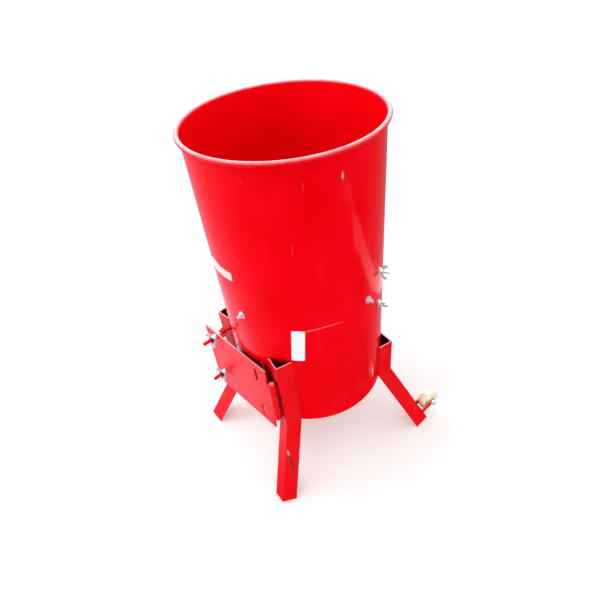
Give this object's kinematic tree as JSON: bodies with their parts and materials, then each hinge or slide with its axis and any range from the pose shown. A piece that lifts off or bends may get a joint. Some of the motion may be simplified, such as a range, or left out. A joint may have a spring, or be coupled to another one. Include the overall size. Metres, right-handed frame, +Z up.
{
  "type": "drum straw chopper",
  "caption": "Upright electric drum chopper for hay and straw: tapered sheet drum on bent angle legs, hinged motor plate with belt-tension studs, knife rotor, transport wheels.",
  "frame": {"origin": "on the floor, under the drum's axis", "axes": "+Z up along the drum's axis, -Y towards the motor plate, +X to the plate's hinge side"},
  "size_m": [0.6028, 0.6598, 1.107],
  "materials": {
    "red_paint": "glossy saturated red enamel over rolled steel",
    "zinc": "bright zinc plating",
    "black_oxide": "black oxide",
    "bearing_steel": "ground and polished bearing steel",
    "machined_steel": "turned steel, lightly oiled",
    "blade_steel": "hardened strip with ground bevels",
    "cast_pulley": "cast iron, turned groove",
    "nylon": "natural cast nylon",
    "label_vinyl": "blank white sticker"
  },
  "bodies": {
    "frame": {"axle_nuts": "zinc", "bearing_balls": "bearing_steel", "bearing_housing": "red_paint", "bearing_outer_rings": "bearing_steel", "blank_label": "label_vinyl", "clamp_bolts": "zinc", "counter_bar_bolts": "zinc", "counter_bar_nuts": "zinc", "counter_bars": "red_paint", "counter_knife": "blade_steel", "drum_shell": "red_paint", "floor_plate": "red_paint", "hinge_frame_knuckles": "red_paint", "hinge_pin": "red_paint", "hinge_pin_cap": "red_paint", "housing_bolts": "zinc", "housing_circlip": "black_oxide", "housing_nuts": "zinc", "left_motor_leg": "red_paint", "left_rear_leg": "red_paint", "right_motor_leg": "red_paint", "right_rear_leg": "red_paint", "rim_wire": "machined_steel", "tension_studs": "red_paint", "wall_strap": "zinc", "wall_washers": "zinc", "wheel_axles": "zinc", "wheel_brackets": "red_paint", "wheel_spacers": "zinc"},
    "motor_plate": {"motor_plate": "red_paint", "hinge_plate_knuckle": "red_paint"},
    "upper_tension": {"upper_tension_washers": "zinc", "upper_jam_nut": "black_oxide"},
    "lower_tension": {"lower_tension_washers": "zinc", "lower_jam_nut": "black_oxide"},
    "upper_outer_nut": {"upper_outer_wing_nut": "zinc"},
    "lower_outer_nut": {"lower_outer_wing_nut": "zinc"},
    "upper_inner_nut": {"upper_inner_wing_nut": "zinc"},
    "lower_inner_nut": {"lower_inner_wing_nut": "zinc"},
    "upper_clamp_nut": {"upper_clamp_wing_nut": "zinc"},
    "lower_clamp_nut": {"lower_clamp_wing_nut": "zinc"},
    "rotor": {"rotor_shaft": "machined_steel", "rotor_hub": "machined_steel", "lower_knife": "blade_steel", "upper_knife": "blade_steel", "knife_clamp_ring": "machined_steel", "knife_bolts": "zinc", "hub_washer": "zinc", "hub_nut": "zinc", "shaft_keys": "machined_steel", "driven_pulley": "cast_pulley", "pulley_spacer": "machined_steel", "pulley_washer": "zinc", "pulley_bolt": "zinc", "bearing_inner_rings": "bearing_steel", "bearing_spacer": "machined_steel"},
    "right_wheel": {"right_transport_wheel": "nylon", "right_wheel_bush": "machined_steel"},
    "left_wheel": {"left_transport_wheel": "nylon", "left_wheel_bush": "machined_steel"}
  },
  "joints": [
    {"name": "motor_plate_hinge", "type": "hinge", "parent": "frame", "child": "motor_plate", "pos_m": [0.138, -0.2295, 0.363], "axis": [0, 0, 1], "range_deg": [-2.5, 3]},
    {"name": "upper_tension_slide", "type": "slide", "parent": "frame", "child": "upper_tension", "axis": [0.1115, -0.9938, 0], "range_m": [-0.0125, 0.0145]},
    {"name": "lower_tension_slide", "type": "slide", "parent": "frame", "child": "lower_tension", "axis": [0.1115, -0.9938, 0], "range_m": [-0.0125, 0.0145]},
    {"name": "upper_outer_nut_turn", "type": "hinge", "parent": "upper_tension", "child": "upper_outer_nut", "pos_m": [-0.1164, -0.25804, 0.466], "axis": [0.1115, -0.9938, 0], "continuous": true},
    {"name": "upper_inner_nut_turn", "type": "hinge", "parent": "upper_tension", "child": "upper_inner_nut", "pos_m": [-0.1164, -0.25804, 0.466], "axis": [0.1115, -0.9938, 0], "continuous": true},
    {"name": "lower_outer_nut_turn", "type": "hinge", "parent": "lower_tension", "child": "lower_outer_nut", "pos_m": [-0.1164, -0.25804, 0.306], "axis": [0.1115, -0.9938, 0], "continuous": true},
    {"name": "lower_inner_nut_turn", "type": "hinge", "parent": "lower_tension", "child": "lower_inner_nut", "pos_m": [-0.1164, -0.25804, 0.306], "axis": [0.1115, -0.9938, 0], "continuous": true},
    {"name": "upper_clamp_nut_turn", "type": "hinge", "parent": "frame", "child": "upper_clamp_nut", "pos_m": [0.21465, 0.11655, 0.70192], "axis": [0.8787, 0.4771, -0.0159], "continuous": true},
    {"name": "lower_clamp_nut_turn", "type": "hinge", "parent": "frame", "child": "lower_clamp_nut", "pos_m": [0.21303, 0.11567, 0.58592], "axis": [0.8787, 0.4771, -0.0159], "continuous": true},
    {"name": "rotor_spin", "type": "hinge", "parent": "frame", "child": "rotor", "pos_m": [0, 0, 0.3], "axis": [0, 0, 1], "continuous": true},
    {"name": "right_wheel_spin", "type": "hinge", "parent": "frame", "child": "right_wheel", "pos_m": [0.2665, 0.30361, 0.05765], "axis": [1, 0, 0], "continuous": true},
    {"name": "left_wheel_spin", "type": "hinge", "parent": "frame", "child": "left_wheel", "pos_m": [-0.2665, 0.30361, 0.05765], "axis": [1, 0, 0], "continuous": true}
  ],
  "couplings": [
    {"joint": "upper_tension_slide", "follows": "motor_plate_hinge", "m_per_rad": 0.256},
    {"joint": "lower_tension_slide", "follows": "motor_plate_hinge", "m_per_rad": 0.256}
  ]
}
